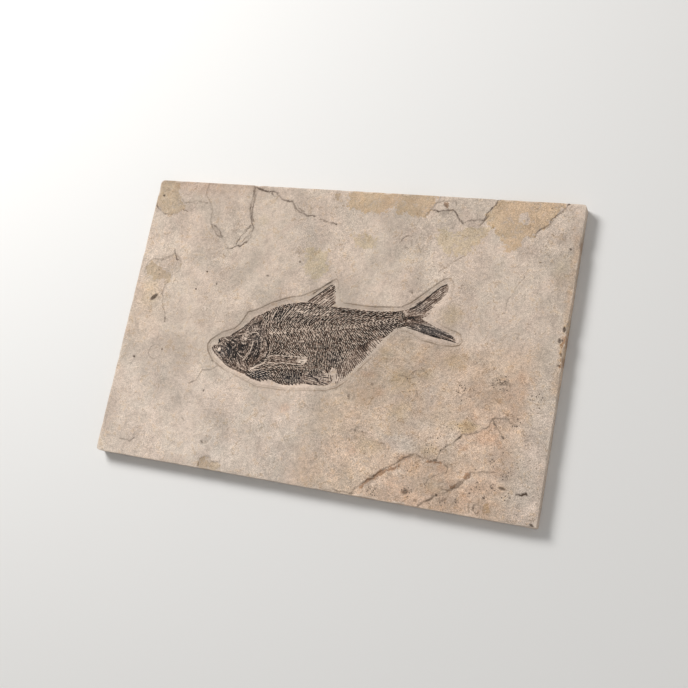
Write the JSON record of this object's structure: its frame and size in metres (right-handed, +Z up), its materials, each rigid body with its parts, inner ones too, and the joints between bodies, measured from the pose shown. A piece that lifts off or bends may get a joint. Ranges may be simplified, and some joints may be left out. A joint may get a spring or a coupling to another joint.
{
  "type": "fossil fish slab",
  "caption": "Thin limestone slab with a prepared fossil fish in a shallow trough, head to the left and forked tail to the right; lies flat on its underside, fish face up.",
  "frame": {"origin": "centre of the slab's flat underside, on the surface that the slab lies on", "axes": "+X along the slab's long side towards the fish's tail, +Y across it towards the fish's back, +Z up out of the face that shows the fish"},
  "size_m": [0.27, 0.176, 0.0084],
  "materials": {
    "limestone": "matte, pale pinkish beige with tan stains, fine grained and slightly pitted",
    "skull_bone": "dark brown-grey fossil bone, low sheen",
    "trunk_bone": "dark brown bones with lighter tan gaps, low sheen",
    "fin_bone": "dark grey-brown fin rays, low sheen",
    "pale_fin_bone": "grey-brown rays with a pale tan outline, matte"
  },
  "bodies": {
    "root": {"slab": "limestone", "skull": "skull_bone", "trunk": "trunk_bone", "dorsal_fin": "fin_bone", "pectoral_fin": "pale_fin_bone", "pelvic_fin": "fin_bone", "anal_fin": "fin_bone", "tail_fin": "fin_bone"}
  },
  "joints": []
}
